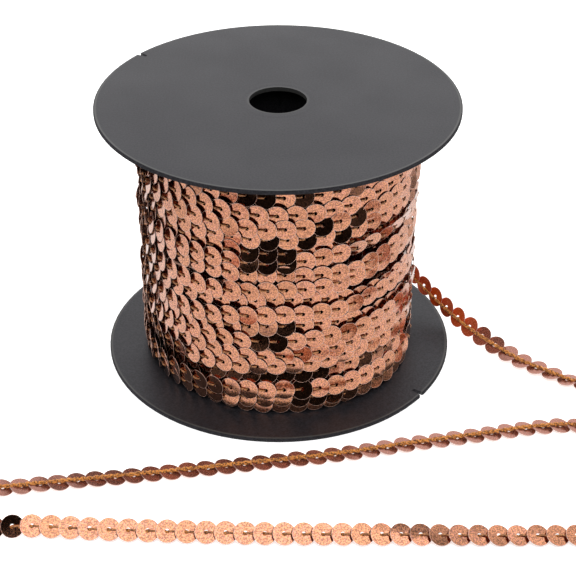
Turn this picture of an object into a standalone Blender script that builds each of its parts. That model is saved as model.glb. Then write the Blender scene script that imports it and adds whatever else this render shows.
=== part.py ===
"""Reel of sequin trim: a two-flange spool, the wound trim and its loose end.

Metres, +Z up. The reel stands on its lower flange, and the origin is the
centre of that flange's underside. The loose end leaves the winding at the
back on the right, comes down to the surface and lies in front of the reel
in two long runs, joined by a turn at each side.
"""
import math

import bmesh
import bpy

MM = 0.001
GAP = 0.3 * MM

# The spool: two thin flanges on a core tube
FLANGE_RADIUS = 50.0 * MM
FLANGE_THICKNESS = 1.2 * MM
FLANGE_CHAMFER = 0.25 * MM
SPOOL_HEIGHT = 78.6 * MM
BORE_RADIUS = 7.9 * MM
CORE_RADIUS = 15.0 * MM
CORE_WALL = 1.5 * MM
FLANGE_STEPS = 96
CORE_STEPS = 48

# The catch in each flange's rim, where the trim's end is tucked in
CATCH_WIDTH = 0.8 * MM
CATCH_DEPTH = 3.0 * MM
CATCH_MOUTH = 1.7 * MM
CATCH_ANGLE_TOP = math.radians(143.0)
CATCH_ANGLE_BOTTOM = math.radians(-36.3)

# The winding: rows of trim laid one above the other. The rows' crowns are
# flat, swell in and out, and slant a little, more so away from the flanges.
WINDING_RADIUS = 39.0 * MM
WINDING_ROWS = 18
WINDING_STEPS = 48
ROW_CROWN = 0.5 * MM
ROW_VALLEY = 0.7 * MM
ROW_FLAT_FROM = 0.26
ROW_FLAT_TO = 0.72
ROW_UNEVENNESS = 0.35 * MM
ROW_SLANT = 1.2 * MM
SWELL_TURN = 9.0
SLANT_TURN = 5.0

# The trim itself: sequins sewn into a flat band
TRIM_WIDTH = 6.0 * MM
TRIM_THICKNESS = 1.0 * MM
SURFACE_GAP = 0.05 * MM
TAIL_STEP = 6.8 * MM
SPAN_PARTS = 16

# The loose end's route in millimetres: place on the surface, height of the
# trim's lower edge over it, and the roll of its front side in degrees. A
# roll of 180 stands on edge with the front to the left, 270 lies face down,
# 360 stands on edge with the front to the right and 450 lies face up.
TAIL_ROUTE = [
    # x, y, lift, roll
    (30.0, 27.7, 14.3, 180.0),
    (34.3, 23.3, 13.1, 180.0),
    (38.2, 18.7, 10.9, 180.0),
    (42.0, 14.3, 8.2, 180.0),
    (46.6, 10.0, 5.2, 182.0),
    (51.0, 5.1, 3.1, 192.0),
    (55.8, -0.6, 1.6, 208.0),
    (61.0, -5.9, 0.6, 228.0),
    (66.1, -10.6, 0.2, 247.0),
    (71.4, -15.4, 0.0, 257.0),
    (77.0, -19.1, 0.0, 263.0),
    (82.8, -23.1, 0.0, 268.0),
    (89.8, -26.1, 0.0, 270.0),
    (97.8, -27.2, 0.0, 270.0),
    (105.7, -30.5, 0.0, 270.0),
    (109.5, -38.6, 0.0, 270.0),
    (106.1, -46.6, 0.0, 270.0),
    (97.9, -49.9, 0.0, 270.0),
    (89.8, -47.2, 0.0, 270.0),
    (81.8, -44.1, 0.0, 270.0),
    (69.9, -44.8, 0.0, 270.0),
    (55.1, -47.8, 0.0, 270.0),
    (35.2, -51.8, 0.0, 270.0),
    (15.8, -56.1, 0.0, 270.0),
    (-6.2, -59.6, 0.0, 270.0),
    (-35.0, -64.0, 0.0, 270.0),
    (-61.0, -67.6, 0.0, 270.0),
    (-73.5, -69.4, 0.0, 274.0),
    (-84.4, -69.8, 0.0, 296.0),
    (-92.5, -73.0, 0.0, 322.0),
    (-95.8, -80.4, 0.0, 345.0),
    (-92.7, -87.8, 0.0, 366.0),
    (-84.9, -90.1, 0.0, 384.0),
    (-75.1, -87.6, 0.0, 398.0),
    (-63.0, -86.2, 0.0, 406.0),
    (-42.7, -87.6, 0.0, 408.0),
    (-3.4, -89.3, 0.0, 410.0),
    (31.4, -89.5, 0.0, 419.0),
    (51.2, -89.6, 0.0, 427.0),
    (79.4, -89.8, 0.0, 427.0),
]


def clear_scene():
    for old in list(bpy.data.objects):
        bpy.data.objects.remove(old, do_unlink=True)


def collection(name):
    made = bpy.data.collections.new(name)
    bpy.context.scene.collection.children.link(made)
    return made


def material(name, colour, roughness, metallic):
    made = bpy.data.materials.new(name)
    made.use_nodes = True
    shader = made.node_tree.nodes["Principled BSDF"]
    shader.inputs["Base Color"].default_value = (*colour, 1.0)
    shader.inputs["Roughness"].default_value = roughness
    shader.inputs["Metallic"].default_value = metallic
    return made


def finish(mesh, finish_material, sharp_angle=35.0):
    mesh.materials.append(finish_material)
    mesh.shade_smooth()
    mesh.set_sharp_from_angle(angle=math.radians(sharp_angle))


def outline_object(name, points, group):
    """A closed outline in the XZ plane, given as (radius, height) pairs."""
    mesh = bpy.data.meshes.new(name)
    count = len(points)
    edges = [(i, (i + 1) % count) for i in range(count)]
    mesh.from_pydata([(r, 0.0, z) for r, z in points], edges, [])
    made = bpy.data.objects.new(name, mesh)
    group.objects.link(made)
    return made


def turn(made, steps):
    """Turn the outline once around the Z axis."""
    screw = made.modifiers.new("turned", "SCREW")
    screw.steps = steps
    screw.render_steps = steps
    screw.use_merge_vertices = True
    screw.merge_threshold = 0.00001
    screw.use_smooth_shade = True


def catch_cutter(name, angle, centre_z, group):
    """A slot that runs in from the rim, with a wider mouth."""
    slot_length = CATCH_DEPTH * 2.0
    bpy.ops.mesh.primitive_cube_add(size=1.0)
    slot = bpy.context.object
    slot.name = name
    slot.scale = (slot_length, CATCH_WIDTH, FLANGE_THICKNESS * 4.0)
    slot.location = (FLANGE_RADIUS, 0.0, 0.0)
    bpy.ops.object.transform_apply(location=True, rotation=True, scale=True)

    # The outer corners move apart, so the slot widens evenly to its mouth at the rim
    outer_width = 2.0 * CATCH_MOUTH - CATCH_WIDTH
    for vertex in slot.data.vertices:
        if vertex.co.x > FLANGE_RADIUS:
            vertex.co.y *= outer_width / CATCH_WIDTH
    slot.rotation_euler.z = angle
    slot.location.z = centre_z
    slot.display_type = "WIRE"
    slot.hide_render = True
    for home in list(slot.users_collection):
        home.objects.unlink(slot)
    group.objects.link(slot)
    return slot


def make_flange(name, bottom, catch_angle, finish_material, group, cutters):
    top = bottom + FLANGE_THICKNESS
    edge = FLANGE_RADIUS - FLANGE_CHAMFER
    outline = [
        (BORE_RADIUS, top),
        (edge, top),
        (FLANGE_RADIUS, top - FLANGE_CHAMFER),
        (FLANGE_RADIUS, bottom + FLANGE_CHAMFER),
        (edge, bottom),
        (BORE_RADIUS, bottom),
    ]
    flange = outline_object(name, outline, group)
    turn(flange, FLANGE_STEPS)
    cutter = catch_cutter(name + "_catch", catch_angle, bottom + FLANGE_THICKNESS / 2.0, cutters)
    cut = flange.modifiers.new("catch", "BOOLEAN")
    cut.operation = "DIFFERENCE"
    cut.solver = "EXACT"
    cut.object = cutter
    finish(flange.data, finish_material)
    return flange


def make_core_tube(finish_material, group):
    bottom = FLANGE_THICKNESS + GAP
    top = SPOOL_HEIGHT - FLANGE_THICKNESS - GAP
    outline = [
        (CORE_RADIUS - CORE_WALL, top),
        (CORE_RADIUS, top),
        (CORE_RADIUS, bottom),
        (CORE_RADIUS - CORE_WALL, bottom),
    ]
    tube = outline_object("core_tube", outline, group)
    turn(tube, CORE_STEPS)
    finish(tube.data, finish_material)
    return tube


def row_radius(row):
    """Rows sit a little in or out of the drum, as hand-fed trim does."""
    return WINDING_RADIUS + ROW_UNEVENNESS * (
        math.sin(2.3 * row + 0.7) + 0.6 * math.sin(1.1 * row)
    )


def make_winding(finish_material, group):
    bottom = FLANGE_THICKNESS + GAP
    top = SPOOL_HEIGHT - FLANGE_THICKNESS - GAP
    pitch = (top - bottom) / WINDING_ROWS
    inner = CORE_RADIUS + GAP

    outline = [(inner, bottom), (WINDING_RADIUS - ROW_VALLEY, bottom)]
    for row in range(WINDING_ROWS):
        low = bottom + row * pitch
        crown = row_radius(row) + ROW_CROWN
        outline.append((crown, low + ROW_FLAT_FROM * pitch))
        outline.append((crown, low + ROW_FLAT_TO * pitch))
        outline.append((WINDING_RADIUS - ROW_VALLEY, low + pitch))
    outline.append((inner, top))

    mesh = bpy.data.meshes.new("winding")
    work = bmesh.new()
    ring = [work.verts.new((r, 0.0, z)) for r, z in outline]
    edges = [work.edges.new((a, b)) for a, b in zip(ring, ring[1:] + ring[:1])]
    bmesh.ops.spin(
        work, geom=ring + edges, cent=(0.0, 0.0, 0.0), axis=(0.0, 0.0, 1.0),
        dvec=(0.0, 0.0, 0.0), angle=math.tau, steps=WINDING_STEPS, use_merge=True,
    )
    bmesh.ops.remove_doubles(work, verts=work.verts, dist=0.00001)

    # The rows slant and swell a little on their way round the drum
    for vertex in work.verts:
        radius = vertex.co.xy.length
        if radius < CORE_RADIUS + 2.0 * GAP:
            continue
        height = (vertex.co.z - bottom) / (top - bottom)
        angle = math.atan2(vertex.co.y, vertex.co.x)
        clear_of_flange = math.sin(math.pi * height)
        swell = ROW_UNEVENNESS * math.sin(2.0 * angle + SWELL_TURN * height)
        slant = ROW_SLANT * math.sin(angle + SLANT_TURN * height)
        vertex.co.xy *= (radius + swell * clear_of_flange) / radius
        vertex.co.z += slant * clear_of_flange
    bmesh.ops.recalc_face_normals(work, faces=work.faces)
    work.to_mesh(mesh)
    work.free()
    finish(mesh, finish_material, sharp_angle=60.0)
    made = bpy.data.objects.new("winding", mesh)
    group.objects.link(made)
    return made


def lying_height(lift, roll):
    """Height of the trim's middle when its lower edge is lift over the surface."""
    upright = abs(math.cos(math.radians(roll)))
    flat = abs(math.sin(math.radians(roll)))
    return lift + SURFACE_GAP + 0.5 * (TRIM_WIDTH * upright + TRIM_THICKNESS * flat)


def smooth_through(points, part, before, start, end, after):
    """Catmull-Rom value at part (0 to 1) between start and end."""
    a, b, c, d = points[before], points[start], points[end], points[after]
    return [
        0.5 * (2.0 * q + (r - p) * part + (2.0 * p - 5.0 * q + 4.0 * r - s) * part ** 2
               + (3.0 * q - p - 3.0 * r + s) * part ** 3)
        for p, q, r, s in zip(a, b, c, d)
    ]


def tail_points():
    """Evenly spaced (x, y, lift, roll) along a smooth curve through the route."""
    route = [(x * MM, y * MM, lift * MM, roll) for x, y, lift, roll in TAIL_ROUTE]
    last = len(route) - 1
    fine = []
    for start in range(last):
        for part in range(SPAN_PARTS):
            fine.append(smooth_through(
                route, part / SPAN_PARTS, max(start - 1, 0), start, start + 1,
                min(start + 2, last)))
    fine.append(list(route[last]))

    length = [0.0]
    for a, b in zip(fine, fine[1:]):
        length.append(length[-1] + math.dist(a[:3], b[:3]))
    count = round(length[-1] / TAIL_STEP)
    even = []
    k = 0
    for i in range(count + 1):
        want = length[-1] * i / count
        while k < len(fine) - 2 and length[k + 1] < want:
            k += 1
        share = (want - length[k]) / (length[k + 1] - length[k])
        even.append([p + (q - p) * share for p, q in zip(fine[k], fine[k + 1])])
    return even


def make_tail(finish_material, group):
    points = tail_points()
    curve = bpy.data.curves.new("trim_tail", "CURVE")
    curve.dimensions = "3D"
    curve.twist_mode = "Z_UP"
    curve.extrude = 0.5 * (TRIM_WIDTH - TRIM_THICKNESS)
    curve.bevel_depth = 0.5 * TRIM_THICKNESS
    curve.bevel_resolution = 1
    curve.use_fill_caps = True
    spline = curve.splines.new("POLY")
    spline.points.add(len(points) - 1)
    for place, (x, y, lift, roll) in zip(spline.points, points):
        place.co = (x, y, lying_height(max(lift, 0.0), roll), 1.0)
        place.tilt = -math.radians(roll)
    curve.materials.append(finish_material)
    made = bpy.data.objects.new("trim_tail", curve)
    group.objects.link(made)
    return made


def main():
    clear_scene()
    parts = collection("sequin_trim_reel")
    cutters = collection("cutters")
    plastic = material("black_plastic", (0.045, 0.045, 0.05), 0.5, 0.0)
    copper = material("copper_sequins", (0.62, 0.34, 0.25), 0.35, 0.85)

    make_flange("flange_bottom", 0.0, CATCH_ANGLE_BOTTOM, plastic, parts, cutters)
    make_flange("flange_top", SPOOL_HEIGHT - FLANGE_THICKNESS, CATCH_ANGLE_TOP,
                plastic, parts, cutters)
    make_core_tube(plastic, parts)
    make_winding(copper, parts)
    make_tail(copper, parts)


main()
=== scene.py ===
# %% [markdown]
# # A reel of sequin trim
#
# The object is a black two-flange spool with many metres of sewn sequin trim wound on it.
# Its loose end comes off the back of the reel and lies in front of it in two long runs.
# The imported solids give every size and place. This file dresses them: flat round sequins,
# the thread that holds them and the moulded plastic of the spool.

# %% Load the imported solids
import math
import random

import bmesh
import bpy
import numpy as np
from mathutils import Matrix, Vector


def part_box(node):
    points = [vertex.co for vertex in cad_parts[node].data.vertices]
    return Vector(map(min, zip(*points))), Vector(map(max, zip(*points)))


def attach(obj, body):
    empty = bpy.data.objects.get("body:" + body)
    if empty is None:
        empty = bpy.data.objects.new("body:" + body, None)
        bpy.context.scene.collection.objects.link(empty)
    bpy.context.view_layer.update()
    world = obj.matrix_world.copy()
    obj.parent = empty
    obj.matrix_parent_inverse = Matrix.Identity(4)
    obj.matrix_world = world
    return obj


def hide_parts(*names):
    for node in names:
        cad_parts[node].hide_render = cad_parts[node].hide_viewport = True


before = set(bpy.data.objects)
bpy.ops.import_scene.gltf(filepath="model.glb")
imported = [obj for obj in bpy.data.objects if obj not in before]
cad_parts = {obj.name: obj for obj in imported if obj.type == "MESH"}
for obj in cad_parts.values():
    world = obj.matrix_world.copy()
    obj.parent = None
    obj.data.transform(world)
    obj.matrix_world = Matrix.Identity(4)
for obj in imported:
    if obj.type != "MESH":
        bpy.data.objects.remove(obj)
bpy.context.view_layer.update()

print("solids:", sorted(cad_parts))

# %% [markdown]
# ## Sizes
#
# The spool's sizes are read from its solids, so the dressing fits them whatever they are.
# The trim's own sizes are those of common 6 mm flat sequins: a film a tenth of a millimetre
# thick with a small hole in the middle, sewn on so that each one covers the edge of the next.

# %% Sizes of the spool and of the trim
MM = 0.001
UP = Vector((0.0, 0.0, 1.0))

spool_low, spool_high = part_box("flange_top")
FLANGE_RADIUS = spool_high.x
SPOOL_HEIGHT = spool_high.z
LOW_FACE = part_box("flange_bottom")[1].z
HIGH_FACE = spool_low.z

SEQUIN_RADIUS = 3.0 * MM
SEQUIN_HOLE = 0.62 * MM
SEQUIN_FILM = 0.12 * MM
SEQUIN_SPACING = 4.9 * MM
SEQUIN_TILT = math.radians(7.5)
TRIM_THICKNESS = 1.0 * MM
SURFACE_GAP = 0.05 * MM
STITCH_RADIUS = 0.25 * MM
print("flange", round(FLANGE_RADIUS / MM, 1), "mm, height", round(SPOOL_HEIGHT / MM, 1), "mm")

# %% [markdown]
# ## The camera
#
# The two rims are circles of one known size at two known heights, and a camera that draws
# both of them as the photograph does is fixed by that. It looks down at the reel at about
# thirty degrees, from under half a metre away, with a long lens.

# %% Camera
CAMERA_PLACE = Vector((0.0, -0.39013, 0.27256))
CAMERA_AIM = Vector((0.00290, 0.02697, 0.0))
CAMERA_LENS = 99.67

camera = bpy.data.objects.new("camera", bpy.data.cameras.new("camera"))
bpy.context.scene.collection.objects.link(camera)
camera.data.lens = CAMERA_LENS
camera.data.sensor_width = 36.0
camera.location = CAMERA_PLACE
camera.rotation_euler = (CAMERA_AIM - CAMERA_PLACE).to_track_quat("-Z", "Y").to_euler()
bpy.context.scene.camera = camera
print("camera", round((CAMERA_AIM - CAMERA_PLACE).length, 3), "m from its aim")

# %% [markdown]
# ## The loose end's line
#
# Trim is a flat band, so its line needs more than places: each point also says how far the
# band's lower edge is lifted over the surface, and how the band is rolled about its line.
# It leaves the winding standing on edge, rolls over as it comes down, lies with its back up
# on the first run, and turns its front up at the turn on the left. The same few points
# shape the solid. A smooth curve through them gives a seat for every sequin.

# %% The loose end's route
TAIL_ROUTE = [
    # x, y, lift in millimetres, roll in degrees
    (30.0, 27.7, 14.3, 180.0),
    (34.3, 23.3, 13.1, 180.0),
    (38.2, 18.7, 10.9, 180.0),
    (42.0, 14.3, 8.2, 180.0),
    (46.6, 10.0, 5.2, 182.0),
    (51.0, 5.1, 3.1, 192.0),
    (55.8, -0.6, 1.6, 208.0),
    (61.0, -5.9, 0.6, 228.0),
    (66.1, -10.6, 0.2, 247.0),
    (71.4, -15.4, 0.0, 257.0),
    (77.0, -19.1, 0.0, 263.0),
    (82.8, -23.1, 0.0, 268.0),
    (89.8, -26.1, 0.0, 270.0),
    (97.8, -27.2, 0.0, 270.0),
    (105.7, -30.5, 0.0, 270.0),
    (109.5, -38.6, 0.0, 270.0),
    (106.1, -46.6, 0.0, 270.0),
    (97.9, -49.9, 0.0, 270.0),
    (89.8, -47.2, 0.0, 270.0),
    (81.8, -44.1, 0.0, 270.0),
    (69.9, -44.8, 0.0, 270.0),
    (55.1, -47.8, 0.0, 270.0),
    (35.2, -51.8, 0.0, 270.0),
    (15.8, -56.1, 0.0, 270.0),
    (-6.2, -59.6, 0.0, 270.0),
    (-35.0, -64.0, 0.0, 270.0),
    (-61.0, -67.6, 0.0, 270.0),
    (-73.5, -69.4, 0.0, 274.0),
    (-84.4, -69.8, 0.0, 296.0),
    (-92.5, -73.0, 0.0, 322.0),
    (-95.8, -80.4, 0.0, 345.0),
    (-92.7, -87.8, 0.0, 366.0),
    (-84.9, -90.1, 0.0, 384.0),
    (-75.1, -87.6, 0.0, 398.0),
    (-63.0, -86.2, 0.0, 406.0),
    (-42.7, -87.6, 0.0, 408.0),
    (-3.4, -89.3, 0.0, 410.0),
    (31.4, -89.5, 0.0, 419.0),
    (51.2, -89.6, 0.0, 427.0),
    (79.4, -89.8, 0.0, 427.0),
]
SPAN_PARTS = 16


def between(points, start, part):
    """Catmull-Rom value a part of the way from one route point to the next."""
    last = len(points) - 1
    a, b, c, d = (points[min(max(k, 0), last)] for k in range(start - 1, start + 3))
    return [
        0.5 * (2.0 * q + (r - p) * part + (2.0 * p - 5.0 * q + 4.0 * r - s) * part ** 2
               + (3.0 * q - p - 3.0 * r + s) * part ** 3)
        for p, q, r, s in zip(a, b, c, d)
    ]


def fine_line():
    """The route as close points: place of the band's middle, and its roll."""
    spans = [(k, part / SPAN_PARTS) for k in range(len(TAIL_ROUTE) - 1)
             for part in range(SPAN_PARTS)]
    line = []
    for x, y, lift, roll in [between(TAIL_ROUTE, *span) for span in spans] + [TAIL_ROUTE[-1]]:
        turned = math.radians(roll)
        half_height = 0.5 * (2.0 * SEQUIN_RADIUS * abs(math.cos(turned))
                             + TRIM_THICKNESS * abs(math.sin(turned)))
        middle = max(lift, 0.0) * MM + SURFACE_GAP + half_height
        line.append((Vector((x * MM, y * MM, middle)), turned))
    return line


TAIL_LINE = fine_line()
TAIL_LENGTH = sum((b[0] - a[0]).length for a, b in zip(TAIL_LINE, TAIL_LINE[1:]))
print("loose end:", round(TAIL_LENGTH, 3), "m")

# %% [markdown]
# ## Seats along a line
#
# A seat is where one sequin is sewn: a matrix whose x runs along the trim towards its free
# end and whose z comes out of the front. Sewn sequins lie like tiles. Each one's rear edge is
# lifted over the one behind it, so every seat is tipped a little about its width.

# %% Seats
def seat(place, ahead, front, tilt=SEQUIN_TILT):
    ahead = ahead.normalized()
    front = (front - ahead * front.dot(ahead)).normalized()
    length_way = ahead * math.cos(tilt) - front * math.sin(tilt)
    out = front * math.cos(tilt) + ahead * math.sin(tilt)
    turned = Matrix((length_way, out.cross(length_way), out)).transposed().to_4x4()
    turned.translation = place
    return turned


def tail_frames(step, start=0.0):
    """Evenly spaced (place, ahead, front, distance) along the loose end."""
    frames = []
    want, gone = start, 0.0
    for (a, roll_a), (b, roll_b) in zip(TAIL_LINE, TAIL_LINE[1:]):
        span = (b - a).length
        while want <= gone + span and want <= TAIL_LENGTH:
            share = (want - gone) / span
            ahead = (b - a).normalized()
            right = ahead.cross(UP).normalized()
            roll = roll_a + (roll_b - roll_a) * share
            front = right * math.cos(roll) + right.cross(ahead) * math.sin(roll)
            frames.append((a.lerp(b, share), ahead, front, want))
            want += step
        gone += span
    return frames


tail_seats = tail_frames(SEQUIN_SPACING, start=0.5 * SEQUIN_SPACING)
print(len(tail_seats), "sequins on the loose end")

# %% [markdown]
# ## One sequin
#
# A sequin is punched from metallised film. It could be a disc with a cut hole, but two
# circles bridged into a ring give the same shape with a few dozen faces, which matters when
# it is repeated a thousand times. Real ones are never quite flat, so there are several, each
# bent its own way by a few hundredths of a millimetre: that is what breaks up their shine.
# The faces of the back are marked with a material slot of their own, because the film is
# bright on one side only.

# %% The sequin and its variants
SEQUIN_SIDES = 20
HOLE_SIDES = 10


def as_copy(work):
    """A finished bmesh as arrays, ready to be copied many times."""
    work.normal_update()
    work.verts.index_update()
    layer = work.loops.layers.uv.active
    return {
        "points": np.array([v.co for v in work.verts]),
        "faces": [[v.index for v in f.verts] for f in work.faces],
        "slots": [int(f.normal.z < -0.5) for f in work.faces],
        "uv": np.array([loop[layer].uv for f in work.faces for loop in f.loops]),
    }


def sequin(cup, saddle, sides=SEQUIN_SIDES, hole_sides=HOLE_SIDES):
    """A punched disc, bent into a shallow cup and a shallow saddle."""
    work = bmesh.new()
    bmesh.ops.create_circle(work, cap_ends=False, segments=sides, radius=SEQUIN_RADIUS)
    bmesh.ops.create_circle(work, cap_ends=False, segments=hole_sides, radius=SEQUIN_HOLE)
    bmesh.ops.bridge_loops(work, edges=work.edges[:])
    bmesh.ops.recalc_face_normals(work, faces=work.faces)
    if work.faces[:][0].normal.z < 0.0:
        bmesh.ops.reverse_faces(work, faces=work.faces)
    bmesh.ops.solidify(work, geom=work.faces[:], thickness=SEQUIN_FILM)
    for v in work.verts:
        x, y = v.co.x / SEQUIN_RADIUS, v.co.y / SEQUIN_RADIUS
        v.co.z += cup * (x * x + y * y) + saddle * (x * x - y * y)
    layer = work.loops.layers.uv.new("UVMap")
    for face in work.faces:
        for loop in face.loops:
            flat = loop.vert.co.xy / SEQUIN_RADIUS
            loop[layer].uv = (0.5 + 0.5 * flat.x, 0.5 + 0.5 * flat.y)
    made = as_copy(work)
    work.free()
    return made


SEQUINS = [
    sequin(0.02 * MM, 0.03 * MM),
    sequin(0.05 * MM, -0.04 * MM),
    sequin(-0.03 * MM, 0.05 * MM),
    sequin(0.00 * MM, -0.06 * MM),
]
INNER_SEQUINS = [sequin(0.03 * MM, 0.04 * MM, 14, 7), sequin(-0.03 * MM, -0.05 * MM, 14, 7)]
print("a sequin has", len(SEQUINS[0]["faces"]), "faces")

# %% [markdown]
# ## One stitch
#
# On the front, each sequin is held by one stitch: the thread comes up through the hole, runs
# along the trim and dives under the next sequin. It is a short bent tube, so a hexagon is
# extruded from ring to ring along the bend.

# %% The stitch
# places along the trim and heights over the film, in millimetres
STITCH_LINE = [(0.15, -0.45), (0.18, 0.05), (0.55, 0.30), (1.20, 0.36), (2.30, 0.24)]
STITCH_SIDES = 6


def stitch():
    work = bmesh.new()
    ring = bmesh.ops.create_circle(work, cap_ends=True, segments=STITCH_SIDES,
                                   radius=STITCH_RADIUS)
    bmesh.ops.rotate(work, verts=ring["verts"], cent=(0.0, 0.0, 0.0),
                     matrix=Matrix.Rotation(math.radians(90.0), 3, "Y"))
    x, z = STITCH_LINE[0]
    bmesh.ops.translate(work, verts=ring["verts"], vec=(x * MM, 0.0, z * MM))
    cap = work.faces[:]
    for (x0, z0), (x1, z1) in zip(STITCH_LINE, STITCH_LINE[1:]):
        grown = bmesh.ops.extrude_face_region(work, geom=cap)["geom"]
        verts = [g for g in grown if isinstance(g, bmesh.types.BMVert)]
        bmesh.ops.translate(work, verts=verts, vec=((x1 - x0) * MM, 0.0, (z1 - z0) * MM))
        bmesh.ops.delete(work, geom=[f for f in cap if f.is_valid], context="FACES_ONLY")
        cap = [g for g in grown if isinstance(g, bmesh.types.BMFace)]
    bmesh.ops.holes_fill(work, edges=work.edges[:], sides=STITCH_SIDES)
    bmesh.ops.recalc_face_normals(work, faces=work.faces)
    layer = work.loops.layers.uv.new("UVMap")
    for face in work.faces:
        for loop in face.loops:
            co = loop.vert.co
            loop[layer].uv = (co.x / MM, math.atan2(co.y, co.z) / math.tau)
    made = as_copy(work)
    made["slots"] = [0] * len(made["faces"])
    work.free()
    return made


STITCH = stitch()
print("a stitch has", len(STITCH["faces"]), "faces")

# %% [markdown]
# ## Sewing them on
#
# A thousand objects would be slow to draw and to move, so the copies are joined into one
# mesh as they are made. Each copy also carries a tone that its material reads: from 0 to 1
# because no two sequins from a real drum of film have exactly the same colour, and past 1
# for painted backlight, the orange red of the first sequins of the loose end.

# %% Joining copies
SHARP_ANGLE = math.radians(35.0)


def sewn(name, shapes, seats, tones, rng):
    """One mesh with a copy of a shape in every seat."""
    points, faces, slots, uvs, face_tones_and_backlight = [], [], [], [], []
    count = 0
    for matrix, tone_and_backlight in zip(seats, tones):
        shape = shapes[rng.randrange(len(shapes))]
        turned = np.array(matrix.to_3x3())
        points.append(shape["points"] @ turned.T + np.array(matrix.translation))
        faces.extend([count + k for k in face] for face in shape["faces"])
        slots.extend(shape["slots"])
        uvs.append(shape["uv"])
        face_tones_and_backlight.append(np.full(len(shape["faces"]), tone_and_backlight))
        count += len(shape["points"])
    mesh = bpy.data.meshes.new(name)
    mesh.from_pydata(np.concatenate(points).tolist(), [], faces)
    layer = mesh.uv_layers.new(name="UVMap")
    layer.data.foreach_set("uv", np.concatenate(uvs).ravel())
    tone_and_backlight_layer = mesh.attributes.new("tone_and_backlight", "FLOAT", "FACE")
    tone_and_backlight_layer.data.foreach_set("value", np.concatenate(face_tones_and_backlight))
    mesh.polygons.foreach_set("material_index", slots)
    mesh.shade_smooth()
    mesh.set_sharp_from_angle(angle=SHARP_ANGLE)
    made = bpy.data.objects.new(name, mesh)
    bpy.context.scene.collection.objects.link(made)
    print(name, len(seats), "copies,", sum(len(f) - 2 for f in faces), "triangles")
    return made
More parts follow.
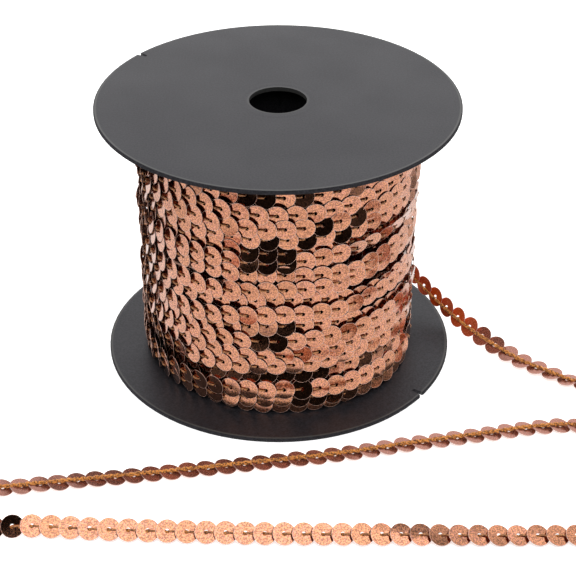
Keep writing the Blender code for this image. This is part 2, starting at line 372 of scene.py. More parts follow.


# %% [markdown]
# ## How the winding lies
#
# The trim is laid on in rows one above the other, not level and not quite even, and dark
# gaps open where two rows part. Most sequins lean so that their top edge stands out over
# the row above, and those mirror the pale surface in front of the reel. Here and there a
# stretch has rolled the other way: it mirrors the dark room and looks nearly black. Those
# stretches are what makes a reel of sequins sparkle, so the front's rows are set out one by one,
# with heights and stretches measured along the row from the middle of the front.

# %% Rows of the winding
# heights as (place along the row, height) pairs, where one sequin sits along the row, lean in
# degrees, how far the row stands out, and stretches that lean otherwise as (from, to, lean),
# all lengths in millimetres
WINDING_ROWS = [
    ([(0, 74.3)], 1.2, -9.0, -0.5, []),
    ([(-40, 70.9), (0, 69.7), (40, 70.7)], -3.2, -5.0, 0.0,
     [(-26.0, -22.0, 9.0), (-11.0, -6.5, 13.0), (-5.5, -1.0, 21.0), (4.5, 9.0, 13.0),
      (18.5, 22.5, 9.0)]),
    ([(-39, 67.0), (-20, 65.6), (0, 64.6), (20, 65.2), (33, 66.5)], -0.1, -5.0, 0.2, []),
    ([(-38, 62.8), (-24, 61.7), (-14, 60.8), (0, 60.6), (20, 61.3), (36, 62.2)], -3.0, -5.0, 0.5,
     [(-15.5, -12.0, 1.0), (-4.5, -1.0, 3.0), (9.5, 14.5, 18.0), (18.5, 22.5, 17.0)]),
    ([(-37, 57.9), (-20, 57.5), (0, 57.3), (20, 57.5), (40, 58.0)], 2.5, -4.0, 0.0,
     [(-4.8, -0.2, 20.0), (4.6, 9.2, 15.0), (14.0, 19.0, 18.0), (19.5, 27.0, 6.0)]),
    ([(-37, 54.0), (0, 53.0), (20, 53.5), (40, 54.5)], -2.8, -4.0, -0.4,
     [(-9.5, 4.4, 20.0), (20.0, 25.5, 18.0), (27.0, 40.0, 15.0)]),
    ([(-37, 50.4), (-23, 50.3), (-10, 50.2), (0, 50.2), (15, 51.2), (28, 51.9), (42, 52.4)],
     -2.8, -5.0, 0.5,
     [(-9.8, -5.0, 12.0), (-5.0, 4.4, 18.0), (21.0, 44.0, -24.0)]),
    ([(-37, 46.9), (-13, 46.4), (0, 46.9), (12, 45.6), (21, 44.9), (31, 46.0), (41, 46.9)],
     -3.1, -5.0, 0.2, [(-4.4, 0.4, 5.0)]),
    ([(-37, 41.0), (-18, 40.4), (-8, 41.0), (0, 42.2), (12, 41.7), (22, 42.7), (42, 44.0)],
     2.2, -5.0, 0.3, [(-13.0, -9.5, 7.0), (14.0, 18.0, 10.0)]),
    ([(-37, 36.0), (-15, 37.3), (0, 39.1), (12, 37.8), (22, 35.8), (42, 36.5)], 3.8, -5.0, 0.0,
     [(-9.0, -4.0, 2.0)]),
    ([(-32, 30.7), (-22, 31.6), (-13, 33.0), (0, 34.5), (16, 34.0), (31, 35.0)],
     1.7, -5.0, 0.5, []),
    ([(-37, 27.3), (0, 30.3), (14, 29.8), (26, 27.8), (42, 28.0)], -3.0, -5.0, -0.2,
     [(-11.5, -7.0, 12.0), (-5.4, -0.6, 12.0), (0.6, 5.4, 18.0)]),
    ([(-40, 23.1), (-25, 25.0), (-10, 25.2), (0, 25.6), (20, 25.6), (34, 26.5)],
     -0.2, -5.0, 0.5, [(-7.5, 2.4, 20.0), (12.5, 17.5, 10.0)]),
    ([(-37, 19.8), (-23, 21.2), (-9, 19.9), (0, 20.8), (20, 21.4), (30, 22.1), (45, 21.2)],
     1.4, -5.0, 0.2, [(8.5, 21.5, 8.0)]),
    ([(-36, 15.9), (-20, 16.4), (0, 17.1), (9, 17.4), (23, 18.4), (39, 17.4)], -0.8, -6.0, 0.1,
     [(28.0, 46.0, 11.0)]),
    ([(-37, 12.0), (-15, 13.2), (0, 14.1), (25, 13.6), (40, 11.5)], 1.9, 22.5, -1.1,
     [(12.0, 24.0, 3.0)]),
    ([(-46, 8.3), (-19, 8.2), (0, 9.7), (16, 8.6), (38, 8.0)], 1.6, 1.5, 0.5,
     [(4.4, 9.5, 23.0), (9.5, 38.0, 9.0), (38.0, 46.0, 20.0)]),
    ([(-43, 4.6), (-20, 4.9), (0, 6.6), (20, 5.4), (40, 4.6)], -3.9, 10.0, 0.0,
     [(4.0, 40.0, 23.0)]),
    ([(0, 4.3)], 0.5, -2.0, -0.4, [(-14.0, 20.0, 12.0)]),
]
FRONT_ANGLE = math.radians(-90.4)
FRONT_REACH = 46.0 * MM
WINDING_RADIUS = 38.3 * MM
ROW_WAVE = 0.8 * MM
ROW_LIFT = 0.15 * MM
ROLLED_LEAN = 3.0
ROLLED_LIFT = -0.1 * MM
LEAN_WAVE = 1.6
LEAN_JITTER = 1.5
LOW_PLACES = (-62.0, -48.0, -24.0, -20.0, -15.0, -14.0)
LOW_LINE = (26.3, 22.2, 15.0, 10.0, 10.0, 0.0)
SIDE_PLACES = (-40.0, -28.0, -12.0, 20.0, 45.0)
SIDE_LEANS = (14.0, 9.0, 0.0, 0.0, 2.5)
SIDE_TILTS = (12.5, 11.0, 8.5, 7.0, 5.0)


def row_height(row, arc):
    """As set out at the front, and a little wavy behind."""
    places, heights = zip(*WINDING_ROWS[row][0])
    behind = min(max(abs(arc) / FRONT_REACH - 1.0, 0.0), 1.0)
    angle = arc / WINDING_RADIUS
    height = np.interp(arc / MM, places, heights) * MM
    height += ROW_WAVE * behind * math.sin(3.0 * angle + 1.7 * row)
    edge_room = SEQUIN_RADIUS + 0.1 * MM
    return min(max(height, LOW_FACE + edge_room), HIGH_FACE - edge_room)


print(len(WINDING_ROWS), "rows between", round(LOW_FACE / MM, 2), "and",
      round(HIGH_FACE / MM, 2), "mm")

# %% [markdown]
# ## Leans
#
# Away from the front there is nothing to measure, so chance sets the rolled stretches there,
# one to four sequins long, from a seeded generator that gives the same reel every time.
# Towards the left the sequins lean back and stand open like the pages of a book, so black
# bands show between them. At the lower left they lean out and mirror only the black flange.

# %% The lean of each sequin
LOW_LEANS = (-8.0, -4.0)
ROLL_CHANCE = 0.09
ROLL_COUNTS = (1, 4)
ROLL_LEANS = (6.0, 20.0)
BEHIND_LEAN = -4.0
BEHIND_WAVE = 3.0


def in_stretch(arc, stretches):
    for start, end, lean in stretches:
        if start * MM <= arc <= end * MM:
            return lean
    return None


def low_left(arc, height):
    """The part at the front's lower left that leans out over the lower flange."""
    return arc > LOW_PLACES[0] * MM and height < np.interp(arc / MM, LOW_PLACES, LOW_LINE) * MM


def leans_of_row(row, arcs, rng):
    """Lean in degrees of every sequin of a row, given its place along the row."""
    _, _, base, _, stretches = WINDING_ROWS[row]
    leans = []
    left_to_roll, rolled = 0, 0.0
    for arc in arcs:
        if low_left(arc, row_height(row, arc)):
            lean = rng.uniform(*LOW_LEANS)
        elif abs(arc) <= FRONT_REACH:
            lean = in_stretch(arc, stretches)
            if lean is None:
                lean = base + np.interp(arc / MM, SIDE_PLACES, SIDE_LEANS)
                lean += LEAN_WAVE * math.sin(arc / (7.0 * MM) + 2.1 * row)
        else:
            if left_to_roll == 0 and rng.random() < ROLL_CHANCE:
                left_to_roll, rolled = rng.randint(*ROLL_COUNTS), rng.uniform(*ROLL_LEANS)
            lean = BEHIND_LEAN + BEHIND_WAVE * math.sin(arc / (9.0 * MM) + row)
            if left_to_roll:
                lean = rolled
            left_to_roll = max(left_to_roll - 1, 0)
        leans.append(lean + rng.uniform(-LEAN_JITTER, LEAN_JITTER))
    return leans


# %% Seats of the winding
LOOSE_SIDE = math.radians(180.0)
LOOSE_SPREAD = math.radians(28.0)
LOOSE_LIFT = 0.35 * MM
LOOSE_LEAN = 3.0
LOOSE_TURN = 0.08
HEIGHT_JITTER = 0.12
TILT_JITTER = 1.0


def winding_seats(rng):
    seats, tones = [], []
    count = round(math.tau * WINDING_RADIUS / SEQUIN_SPACING)
    turn = math.tau / count
    for row, (_, phase, _, lift, _) in enumerate(WINDING_ROWS):
        arcs = [phase * MM + (k - count // 2) * turn * WINDING_RADIUS for k in range(count)]
        for arc, lean in zip(arcs, leans_of_row(row, arcs, rng)):
            angle = FRONT_ANGLE + arc / WINDING_RADIUS
            out = Vector((math.cos(angle), math.sin(angle), 0.0))
            ahead = Vector((out.y, -out.x, 0.0))
            from_side = math.remainder(angle - LOOSE_SIDE, math.tau) / LOOSE_SPREAD
            loose = max(0.0, 1.0 - from_side * from_side)
            radius = WINDING_RADIUS + lift * MM + ROW_LIFT * math.sin(2.3 * row + 2.0 * angle)
            radius += ROLLED_LIFT if lean > ROLLED_LEAN else 0.0
            radius += loose * rng.random() * LOOSE_LIFT
            lean += loose * rng.uniform(-LOOSE_LEAN, LOOSE_LEAN)
            turned = math.radians(lean)
            front = out * math.cos(turned) + UP * math.sin(turned)
            ahead = ahead + out * loose * rng.uniform(-LOOSE_TURN, LOOSE_TURN)
            uneven = rng.uniform(-HEIGHT_JITTER, HEIGHT_JITTER) * MM
            place = out * radius + UP * (row_height(row, arc) + uneven)
            tilt = np.interp(arc / MM, SIDE_PLACES, SIDE_TILTS)
            tilt += rng.uniform(-TILT_JITTER, TILT_JITTER)
            seats.append(seat(place, ahead, front, math.radians(tilt)))
            tones.append(rng.random())
    return seats, tones


rng = random.Random(11)
wound_seats, wound_tones = winding_seats(rng)
wound_sequins = sewn("wound_sequins", SEQUINS, wound_seats, wound_tones, rng)
wound_stitches = sewn("wound_stitches", [STITCH], wound_seats, wound_tones, rng)

# %% [markdown]
# ## Under the outer layer
#
# Through the gaps between the rows the layer below shows. It is the same trim, pressed
# flatter and lying every way, so one more layer of simpler sequins is enough. Its film is
# painted darker and deeper in colour, as painted shade under the outer layer. What is under
# that can't be seen, and a plain drum, turned from one profile, closes it.

# %% The layer below and the drum
INNER_RADIUS = WINDING_RADIUS - 2.0 * MM
INNER_PITCH = 4.3 * MM
INNER_SPACING = SEQUIN_SPACING + 0.4 * MM
INNER_EDGE = 1.1 * SEQUIN_RADIUS
INNER_LEANS = (-10.0, 12.0)
# Tones kept low, so the layer below is deeper copper: random tone and painted shade
INNER_TONE_AND_SHADE = 0.4
DRUM_RADIUS = WINDING_RADIUS - 3.4 * MM
DRUM_BORE = 16.0 * MM
DRUM_GAP = 0.2 * MM
DRUM_WAVE = 0.2 * MM
DRUM_BANDS = 18
DRUM_STEPS = 72


def inner_seats(rng):
    seats, tones = [], []
    count = round(math.tau * INNER_RADIUS / INNER_SPACING)
    rows = int((HIGH_FACE - LOW_FACE - 2.0 * INNER_EDGE) / INNER_PITCH)
    for row in range(rows + 1):
        height = LOW_FACE + INNER_EDGE + row * INNER_PITCH
        for k in range(count):
            angle = (k + 0.5 * rng.random()) * math.tau / count
            out = Vector((math.cos(angle), math.sin(angle), 0.0))
            lean = math.radians(rng.uniform(*INNER_LEANS))
            front = out * math.cos(lean) + UP * math.sin(lean)
            ahead = Vector((out.y, -out.x, 0.0))
            seats.append(seat(out * INNER_RADIUS + UP * height, ahead, front))
            tones.append(INNER_TONE_AND_SHADE * rng.random())
    return seats, tones


def drum():
    work = bmesh.new()
    low, high = LOW_FACE + DRUM_GAP, HIGH_FACE - DRUM_GAP
    heights = [low + (high - low) * k / DRUM_BANDS for k in range(DRUM_BANDS + 1)]
    profile = [work.verts.new((DRUM_RADIUS + DRUM_WAVE * math.sin(2.0 * k), 0.0, z))
               for k, z in enumerate(heights)]
    profile = [work.verts.new((DRUM_BORE, 0.0, low))] + profile
    profile.append(work.verts.new((DRUM_BORE, 0.0, high)))
    edges = [work.edges.new((a, b)) for a, b in zip(profile, profile[1:] + profile[:1])]
    bmesh.ops.spin(work, geom=profile + edges, cent=(0.0, 0.0, 0.0), axis=(0.0, 0.0, 1.0),
                   dvec=(0.0, 0.0, 0.0), angle=math.tau, steps=DRUM_STEPS, use_merge=True)
    bmesh.ops.remove_doubles(work, verts=work.verts, dist=0.01 * MM)
    bmesh.ops.recalc_face_normals(work, faces=work.faces)
    mesh = bpy.data.meshes.new("winding_drum")
    work.to_mesh(mesh)
    work.free()
    made = bpy.data.objects.new("winding_drum", mesh)
    bpy.context.scene.collection.objects.link(made)
    return made


rng = random.Random(23)
inner_places, inner_tones = inner_seats(rng)
inner_sequins = sewn("inner_sequins", INNER_SEQUINS, inner_places, inner_tones, rng)
winding_drum = drum()

# %% [markdown]
# ## The loose end's sequins
#
# The same sequins go along the route. The first few, beside the reel, have the pale surface
# behind them, and light comes through their film: thin metallised film seen against light is
# a clear orange red. That backlight is painted: their tone, past 1, tells the material to
# paint them orange red. It is a fixed colour, so it suits the photograph's side and shows
# from behind as well.

# %% Sequins of the loose end
# How far along the loose end the painted backlight reaches, and how strong it is
PAINTED_BACKLIGHT_LENGTH = 48.0 * MM
FADE_LENGTH = 9.0 * MM
TAIL_TILT = math.radians(11.0)
TAIL_LIFT = 0.2 * MM
TAIL_ROLL = 3.0
ROLL_JITTER = 0.8
PAINTED_BACKLIGHT_TONES = (0.9, 1.3)
TURN_END_X = -64.5 * MM
TURN_END_Y = -80.0 * MM
TURN_ROLL = -14.0


# Within the first stretch the tone is past 1 and paints backlight, fading out at its end; past
# it the tone is random.
def tail_tone_and_backlight(distance, rng):
    painted_backlight = min((PAINTED_BACKLIGHT_LENGTH - distance) / FADE_LENGTH, 1.0)
    return 1.0 + painted_backlight * rng.uniform(*PAINTED_BACKLIGHT_TONES) if painted_backlight > 0.0 else rng.random()


rng = random.Random(5)
tail_matrices = []
for place, ahead, front, distance in tail_seats:
    in_turn = place.x < TURN_END_X and place.y < TURN_END_Y
    roll = TAIL_ROLL + rng.uniform(-ROLL_JITTER, ROLL_JITTER) + (TURN_ROLL if in_turn else 0.0)
    turned = front + front.cross(ahead) * math.radians(roll)
    tail_matrices.append(seat(place + UP * TAIL_LIFT, ahead, turned, TAIL_TILT))
tail_tones_and_backlight = [tail_tone_and_backlight(distance, rng) for _, _, _, distance in tail_seats]
tail_sequins = sewn("tail_sequins", SEQUINS, tail_matrices, tail_tones_and_backlight, rng)
tail_stitches = sewn("tail_stitches", [STITCH], tail_matrices,
                     [min(t, 1.0) for t in tail_tones_and_backlight], rng)

# %% [markdown]
# ## The thread on the back
#
# Along the back runs the thick second thread that locks the stitches, two plies twisted
# round each other. Each ply is a thin curve that winds round the trim's line, and a round
# bevel gives it its thickness. It is then turned into a mesh, so that its place is in it.

# %% The two-ply thread
PLY_RADIUS = 0.40 * MM
PLY_OFFSET = 0.30 * MM
PLY_TWIST = 3.6 * MM
PLY_STEP = 0.45 * MM
THREAD_OFFSET = 0.72 * MM
THIN_LENGTH = 60.0 * MM


def ply(curve, start):
    frames = tail_frames(PLY_STEP)
    spline = curve.splines.new("POLY")
    spline.points.add(len(frames) - 1)
    for point, (place, ahead, front, distance) in zip(spline.points, frames):
        turned = start + math.tau * distance / PLY_TWIST
        side = front.cross(ahead)
        middle = place - front * THREAD_OFFSET
        thick = min(0.55 + 0.45 * distance / THIN_LENGTH, 1.0)
        spot = side * math.cos(turned) + front * math.sin(turned)
        point.co = (*(middle + spot * PLY_OFFSET * thick), 1.0)
        point.radius = thick


def back_thread():
    curve = bpy.data.curves.new("tail_thread", "CURVE")
    curve.dimensions = "3D"
    curve.bevel_depth = PLY_RADIUS
    curve.bevel_resolution = 0
    curve.use_fill_caps = True
    ply(curve, 0.0)
    ply(curve, math.pi)
    shaped = bpy.data.objects.new("thread_shape", curve)
    bpy.context.scene.collection.objects.link(shaped)
    bpy.context.view_layer.update()
    mesh = bpy.data.meshes.new_from_object(shaped.evaluated_get(
        bpy.context.evaluated_depsgraph_get()))
    bpy.data.objects.remove(shaped, do_unlink=True)
    mesh.name = "tail_thread"
    mesh.shade_smooth()
    made = bpy.data.objects.new("tail_thread", mesh)
    bpy.context.scene.collection.objects.link(made)
    return made


tail_thread = back_thread()
print("back thread:", len(tail_thread.data.polygons), "faces")

# %% [markdown]
# ## Materials
#
# Every finish is a small tree of nodes under one Principled shader. The helpers below keep
# the trees short: one adds a node, one joins two sockets and one makes a gentle ramp from one
# value to another.

# %% Node helpers
def new_material(name):
    made = bpy.data.materials.new(name)
    made.use_nodes = True
    return made, made.node_tree, made.node_tree.nodes["Principled BSDF"]


def node(tree, kind, **settings):
    made = tree.nodes.new(kind)
    for key, value in settings.items():
        setattr(made, key, value)
    return made


def maths(tree, operation, a, b=None, c=None, clamp=False):
    made = node(tree, "ShaderNodeMath", operation=operation, use_clamp=clamp)
    for socket, value in zip(made.inputs, (a, b, c)):
        if isinstance(value, bpy.types.NodeSocket):
            tree.links.new(value, socket)
        elif value is not None:
            socket.default_value = value
    return made.outputs[0]


def ramp(tree, value, low, high, start=0.0, end=1.0):
    """Goes smoothly from start to end while value goes from low to high."""
    made = node(tree, "ShaderNodeMapRange", interpolation_type="SMOOTHSTEP")
    tree.links.new(value, made.inputs["Value"])
    for key, number in zip(("From Min", "From Max", "To Min", "To Max"),
                           (low, high, start, end)):
        made.inputs[key].default_value = number
    return made.outputs[0]


def mixed(tree, share, first, second, blend="MIX"):
    made = node(tree, "ShaderNodeMix", data_type="RGBA", blend_type=blend)
    for socket, value in zip((made.inputs[0], made.inputs[6], made.inputs[7]),
                             (share, first, second)):
        if isinstance(value, bpy.types.NodeSocket):
            tree.links.new(value, socket)
        elif isinstance(value, tuple):
            socket.default_value = (*value, 1.0)
        else:
            socket.default_value = value
    return made.outputs[2]


def noise(tree, vector, scale, detail=2.0, roughness=0.5):
    made = node(tree, "ShaderNodeTexNoise")
    tree.links.new(vector, made.inputs["Vector"])
    made.inputs["Scale"].default_value = scale
    made.inputs["Detail"].default_value = detail
    made.inputs["Roughness"].default_value = roughness
    return made.outputs["Fac"]


def bumped(tree, shader, height, strength, distance):
    made = node(tree, "ShaderNodeBump")
    made.inputs["Strength"].default_value = strength
    made.inputs["Distance"].default_value = distance
    tree.links.new(height, made.inputs["Height"])
    tree.links.new(made.outputs["Normal"], shader.inputs["Normal"])


# %% [markdown]
# ## Sequin film
#
# Metallised film is a mirror with a fine pebbled grain. The grain is a noise a third of a
# millimetre wide, which lightens and darkens the copper and dents its surface. A thin pale,
# duller ring at the edge, which the sequin's own UV map places, is a painted highlight along
# the rim. The tone lets each sequin differ a little, and past 1 it paints backlight. The back
# is made by the same tree with other numbers: smoother to look at, pinker and less of a mirror.

# %% Sequin film
FILM_COPPER = (0.70, 0.305, 0.16)
FILM_PINK = (0.66, 0.285, 0.19)
FILM_BACK = (0.35, 0.145, 0.105)
FILM_DEEP = (0.60, 0.255, 0.13)
# The orange red of painted backlight through the film
FILM_PAINTED_BACKLIGHT = (0.64, 0.09, 0.012)
# Pale colour of the painted highlight along each sequin's rim
FILM_RIM_HIGHLIGHT = (0.72, 0.60, 0.55)
GRAIN_SCALE = 2700.0
FILM_SPECKLE, BACK_SPECKLE = (0.58, 1.36), (0.9, 1.1)
FILM_ROUGH, BACK_ROUGH = (0.09, 0.14), (0.20, 0.28)
RIM_HIGHLIGHT_RING = (0.945, 0.975)


def film_material(name, shade, back=False):
    made, tree, shader = new_material(name)
    place = node(tree, "ShaderNodeTexCoord")
    tone_and_backlight = node(tree, "ShaderNodeAttribute", attribute_name="tone_and_backlight")
    tone_and_backlight = tone_and_backlight.outputs["Fac"]
    grain = noise(tree, place.outputs["Object"], GRAIN_SCALE, detail=1.0)
    speckle = ramp(tree, grain, 0.34, 0.66, *(BACK_SPECKLE if back else FILM_SPECKLE))
    tint = noise(tree, place.outputs["Object"], 0.8 * GRAIN_SCALE, detail=0.0)

    centred = node(tree, "ShaderNodeVectorMath", operation="SUBTRACT")
    tree.links.new(place.outputs["UV"], centred.inputs[0])
    centred.inputs[1].default_value = (0.5, 0.5, 0.0)
    length = node(tree, "ShaderNodeVectorMath", operation="LENGTH")
    tree.links.new(centred.outputs[0], length.inputs[0])
    out = maths(tree, "MULTIPLY", length.outputs["Value"], 2.0)
    # The rim ring: a painted highlight, pale and less metallic, along the sequin's edge
    rim = ramp(tree, out, *RIM_HIGHLIGHT_RING)

    fronts = (FILM_BACK, FILM_BACK) if back else (FILM_COPPER, FILM_PINK)
    copper = mixed(tree, ramp(tree, tint, 0.4, 0.6), *fronts)
    copper = mixed(tree, ramp(tree, tone_and_backlight, 0.0, 0.5, 0.6, 0.0), copper,
                   FILM_BACK if back else FILM_DEEP)
    shaded = node(tree, "ShaderNodeVectorMath", operation="SCALE")
    tree.links.new(copper, shaded.inputs[0])
    tree.links.new(maths(tree, "MULTIPLY", speckle, shade), shaded.inputs["Scale"])
    # Tone past 1 is painted backlight: the film turns orange red and less of a mirror.
    painted_backlight = ramp(tree, tone_and_backlight, 1.0, 2.4)
    film = mixed(tree, painted_backlight, shaded.outputs[0], FILM_PAINTED_BACKLIGHT)
    rim_highlight = maths(tree, "MULTIPLY", rim, 0.5)
    colour = mixed(tree, rim_highlight, film, FILM_RIM_HIGHLIGHT)
    tree.links.new(colour, shader.inputs["Base Color"])

    metal = maths(tree, "SUBTRACT", 0.75 if back else 1.0, maths(tree, "MULTIPLY", rim, 0.6))
    metal = maths(tree, "SUBTRACT", metal, maths(tree, "MULTIPLY", painted_backlight, 0.75), clamp=True)
    tree.links.new(metal, shader.inputs["Metallic"])
    rough = ramp(tree, grain, 0.35, 0.65, *(BACK_ROUGH if back else FILM_ROUGH))
    tree.links.new(rough, shader.inputs["Roughness"])
    shader.inputs["Coat Weight"].default_value = 0.35
    shader.inputs["Coat Roughness"].default_value = 0.10
    bumped(tree, shader, grain, 0.10, 0.02 * MM)
    return made


sequin_film = film_material("sequin_film", 1.0)
back_film = film_material("back_film", 1.0, back=True)
# Same film at 0.55 brightness: painted shade under the outer layer
inner_film_painted_shade = film_material("inner_film_painted_shade", 0.55)

# %% [markdown]
# ## Thread, drum and plastic
#
# The thread is golden brown and made of fine fibres, so its stripes follow the twist. The
# drum only ever shows behind gaps, and its dark brown is painted shade for the trim deeper
# in. The spool is black moulded plastic with a fine sand-like grain that greys its face, faint
# rings around the bore where it came out of its mould, a paler band at the edge of the bore,
# and a thin paler line just inside the rim that is a painted highlight.

# %% Thread and drum
THREAD_GOLD = (0.80, 0.31, 0.06)
THREAD_BROWN = (0.13, 0.040, 0.010)
STITCH_GOLD = (0.50, 0.21, 0.075)
# Dark browns of the drum: painted shade where more trim lies in the dark
DRUM_PAINTED_SHADE = (0.030, 0.014, 0.009)
DRUM_WARM_SHADE = (0.075, 0.032, 0.018)
FIBRE_SCALE = 2600.0
PATCH_SCALE = 320.0


def thread_material(name, golden):
    made, tree, shader = new_material(name)
    place = node(tree, "ShaderNodeTexCoord")
    fibre = noise(tree, place.outputs["Object"], FIBRE_SCALE, detail=3.0)
    fine = ramp(tree, fibre, 0.38, 0.58)
    tree.links.new(mixed(tree, fine, THREAD_BROWN, golden), shader.inputs["Base Color"])
    shader.inputs["Roughness"].default_value = 0.62
    shader.inputs["Sheen Weight"].default_value = 0.1
    bumped(tree, shader, fibre, 0.6, 0.08 * MM)
    return made


# The drum's colour is painted shade, dark brown with warmer patches
def drum_material():
    made, tree, shader = new_material("drum_painted_shade")
    place = node(tree, "ShaderNodeTexCoord")
    patches = noise(tree, place.outputs["Object"], PATCH_SCALE)
    shades = mixed(tree, ramp(tree, patches, 0.3, 0.7), DRUM_PAINTED_SHADE, DRUM_WARM_SHADE)
    tree.links.new(shades, shader.inputs["Base Color"])
    shader.inputs["Roughness"].default_value = 0.5
    return made


stitch_thread = thread_material("stitch_thread", STITCH_GOLD)
gold_thread = thread_material("gold_thread", THREAD_GOLD)
drum_painted_shade = drum_material()

# %% Moulded plastic
PLASTIC_BLACK = (0.008, 0.0075, 0.0085)
PLASTIC_GREY = (0.022, 0.021, 0.025)
# Pale line colour: a painted highlight just inside the rim, and a paler band at the bore's edge
PLASTIC_PALE_LINE = (0.085, 0.085, 0.078)
PLASTIC_GRAIN = 2100.0
CLOUD_SCALE = 45.0
RING_WIDTH = 1.1 * MM


def plastic_material():
    made, tree, shader = new_material("moulded_black")
    place = node(tree, "ShaderNodeTexCoord")
    grain = noise(tree, place.outputs["Object"], PLASTIC_GRAIN, detail=3.0)
    cloudy = noise(tree, place.outputs["Object"], CLOUD_SCALE)
    flat = node(tree, "ShaderNodeVectorMath", operation="MULTIPLY")
    tree.links.new(place.outputs["Object"], flat.inputs[0])
    flat.inputs[1].default_value = (1.0, 1.0, 0.0)
    length = node(tree, "ShaderNodeVectorMath", operation="LENGTH")
    tree.links.new(flat.outputs[0], length.inputs[0])
    radius = length.outputs["Value"]

    shade = mixed(tree, ramp(tree, grain, 0.3, 0.7), PLASTIC_BLACK, PLASTIC_GREY)
    ring = maths(tree, "PINGPONG", radius, RING_WIDTH)
    ring = maths(tree, "MULTIPLY", ring, 1.0 / RING_WIDTH)
    near_bore = ramp(tree, radius, 9.0 * MM, 13.0 * MM, 1.0, 0.0)
    ring = maths(tree, "MULTIPLY", ring, near_bore)
    # Paler towards the edge of the bore, and a thin painted highlight line just inside the rim
    bore_edge = ramp(tree, radius, 8.1 * MM, 8.7 * MM, 0.35, 0.0)
    rim_highlight_line = maths(tree, "MULTIPLY",
                     ramp(tree, radius, FLANGE_RADIUS - 1.0 * MM, FLANGE_RADIUS - 0.6 * MM),
                     ramp(tree, radius, FLANGE_RADIUS - 0.5 * MM, FLANGE_RADIUS - 0.2 * MM,
                          0.6, 0.0))
    shade = mixed(tree, maths(tree, "MAXIMUM", bore_edge, rim_highlight_line), shade, PLASTIC_PALE_LINE)
    tree.links.new(shade, shader.inputs["Base Color"])
    rim = ramp(tree, radius, FLANGE_RADIUS - 0.35 * MM, FLANGE_RADIUS - 0.1 * MM, 0.0, 0.4)
    rough = maths(tree, "ADD", ramp(tree, cloudy, 0.3, 0.7, 0.40, 0.46), rim)
    tree.links.new(rough, shader.inputs["Roughness"])
    shader.inputs["Specular IOR Level"].default_value = 0.30
    shader.inputs["Specular Tint"].default_value = (0.93, 0.92, 1.0, 1.0)
    height = maths(tree, "ADD", grain, maths(tree, "MULTIPLY", ring, 1.5))
    bumped(tree, shader, height, 0.25, 0.05 * MM)
    return made


moulded_black = plastic_material()
for name in ("flange_bottom", "flange_top", "core_tube"):
    for material_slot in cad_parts[name].material_slots:
        material_slot.material = moulded_black
print("finishes:", [m.name for m in bpy.data.materials if m.users])

# %% [markdown]
# ## Putting it together
#
# Each piece gets its finish and rides on the reel. The imported winding and loose end are
# hidden, since these pieces take their place: the loose end's sequins go with its thread and
# stitches, and its length is printed.

# %% Finishes and bodies
FINISHES = [
    (wound_sequins, [sequin_film, back_film], "sequins"),
    (wound_stitches, [stitch_thread], "sewing_thread"),
    (inner_sequins, [inner_film_painted_shade, inner_film_painted_shade], "sequins"),
    (winding_drum, [drum_painted_shade], "sequins"),
    (tail_sequins, [sequin_film, back_film], "sequins"),
    (tail_stitches, [stitch_thread], "sewing_thread"),
    (tail_thread, [gold_thread], "sewing_thread"),
]
for piece, finishes, slot_name in FINISHES:
    for finish in finishes:
        piece.data.materials.append(finish)
    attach(piece, "root")

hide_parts("winding")
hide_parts("trim_tail")
print("the loose end is", round(TAIL_LENGTH, 3), "m of 6 mm trim")

# %% [markdown]
# ## Stage and light
#
# The reel stands on a pale surface under soft, even light. What sequins show is what they
# mirror, so the room matters as much as the lamps: white behind and high up in front, and
# dark at the sides and low down in front, where the rest of the room would be. The surface is
# white near the reel and falls away to dark further off. The lamp itself isn't mirrored.
# Only mirrors see that falling off: Light Path nodes show the camera plain white instead.

# %% The surface
FLOOR_SIZE = 4.0
FLOOR_NEAR = 0.13
FLOOR_FAR = 0.34
FLOOR_MIDDLE = 0.10
FLOOR_ASIDE = 0.40
FLOOR_DARK = 0.03
FLOOR_GLOW = 0.56


def floor():
    work = bmesh.new()
    bmesh.ops.create_grid(work, x_segments=1, y_segments=1, size=FLOOR_SIZE / 2.0)
    mesh = bpy.data.meshes.new("pale_surface")
    work.to_mesh(mesh)
    work.free()
    made = bpy.data.objects.new("pale_surface", mesh)
    bpy.context.scene.collection.objects.link(made)
    finish, tree, shader = new_material("pale_surface")
    shader.inputs["Base Color"].default_value = (0.92, 0.92, 0.92, 1.0)
    shader.inputs["Roughness"].default_value = 0.9
    shader.inputs["Specular IOR Level"].default_value = 0.1
    shader.inputs["Emission Color"].default_value = (1.0, 1.0, 1.0, 1.0)
    shader.inputs["Emission Strength"].default_value = FLOOR_GLOW
    place = node(tree, "ShaderNodeTexCoord")
    parts = node(tree, "ShaderNodeSeparateXYZ")
    tree.links.new(place.outputs["Object"], parts.inputs[0])
    forward = maths(tree, "MULTIPLY", parts.outputs["Y"], -1.0)
    aside = maths(tree, "ABSOLUTE", parts.outputs["X"])
    bright = maths(tree, "MULTIPLY",
                   ramp(tree, forward, FLOOR_NEAR, FLOOR_FAR, 1.0, FLOOR_DARK),
                   ramp(tree, aside, FLOOR_MIDDLE, FLOOR_ASIDE, 1.0, FLOOR_DARK))
    mirrored = node(tree, "ShaderNodeEmission")
    tree.links.new(bright, mirrored.inputs["Strength"])
    rays = node(tree, "ShaderNodeLightPath")
    chosen = node(tree, "ShaderNodeMixShader")
    tree.links.new(rays.outputs["Is Glossy Ray"], chosen.inputs[0])
    tree.links.new(shader.outputs[0], chosen.inputs[1])
    tree.links.new(mirrored.outputs[0], chosen.inputs[2])
    tree.links.new(chosen.outputs[0], tree.nodes["Material Output"].inputs["Surface"])
    mesh.materials.append(finish)


floor()

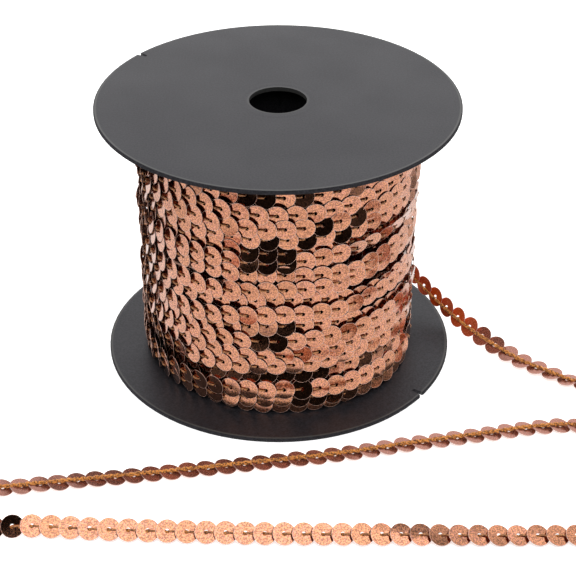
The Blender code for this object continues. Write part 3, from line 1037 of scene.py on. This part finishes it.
# %% The room
ROOM_DARK = 0.007
ROOM_BEHIND = 1.55
ROOM_SIDES = 0.08
ROOM_ABOVE = 1.7
# where each part of the room begins and ends, as directions from -1 to 1
BEHIND_SPAN = (-0.25, 0.45)
SIDES_SPAN = (0.55, 0.95)
ABOVE_SPAN = (0.45, 0.60)
FRONT_SPAN = (-0.13, -0.05)
LAMP_PLACE = (0.0, -0.36, 0.86)
LAMP_AIM = (0.0, -0.02, 0.0)
LAMP_SIZE = 0.4
LAMP_POWER = 1.2


def room():
    world = bpy.data.worlds.new("room")
    bpy.context.scene.world = world
    world.use_nodes = True
    tree = world.node_tree
    background = tree.nodes["Background"]
    background.inputs["Color"].default_value = (1.0, 1.0, 1.0, 1.0)
    place = node(tree, "ShaderNodeTexCoord")
    parts = node(tree, "ShaderNodeSeparateXYZ")
    tree.links.new(place.outputs["Generated"], parts.inputs[0])
    sideways = maths(tree, "ABSOLUTE", parts.outputs["X"])

    behind = ramp(tree, parts.outputs["Y"], *BEHIND_SPAN, ROOM_DARK, ROOM_BEHIND)
    sides = ramp(tree, sideways, *SIDES_SPAN, ROOM_DARK, ROOM_SIDES)
    above = maths(tree, "MULTIPLY", ramp(tree, parts.outputs["Z"], *ABOVE_SPAN, 0.0, ROOM_ABOVE),
                  ramp(tree, parts.outputs["Y"], *FRONT_SPAN, 1.0, 0.0))
    mirrored = maths(tree, "MAXIMUM", maths(tree, "MAXIMUM", behind, sides), above)
    rays = node(tree, "ShaderNodeLightPath")
    seen = maths(tree, "MAXIMUM", mirrored, rays.outputs["Is Camera Ray"])
    tree.links.new(seen, background.inputs["Strength"])


def softbox(name, place, aim, size, power):
    light = bpy.data.lights.new(name, "AREA")
    light.size = size
    light.energy = power
    made = bpy.data.objects.new(name, light)
    bpy.context.scene.collection.objects.link(made)
    made.location = place
    made.rotation_euler = (Vector(aim) - Vector(place)).to_track_quat("-Z", "Y").to_euler()
    made.visible_glossy = False


room()
softbox("overhead", LAMP_PLACE, LAMP_AIM, LAMP_SIZE, LAMP_POWER)
bpy.context.scene.view_settings.view_transform = "Standard"
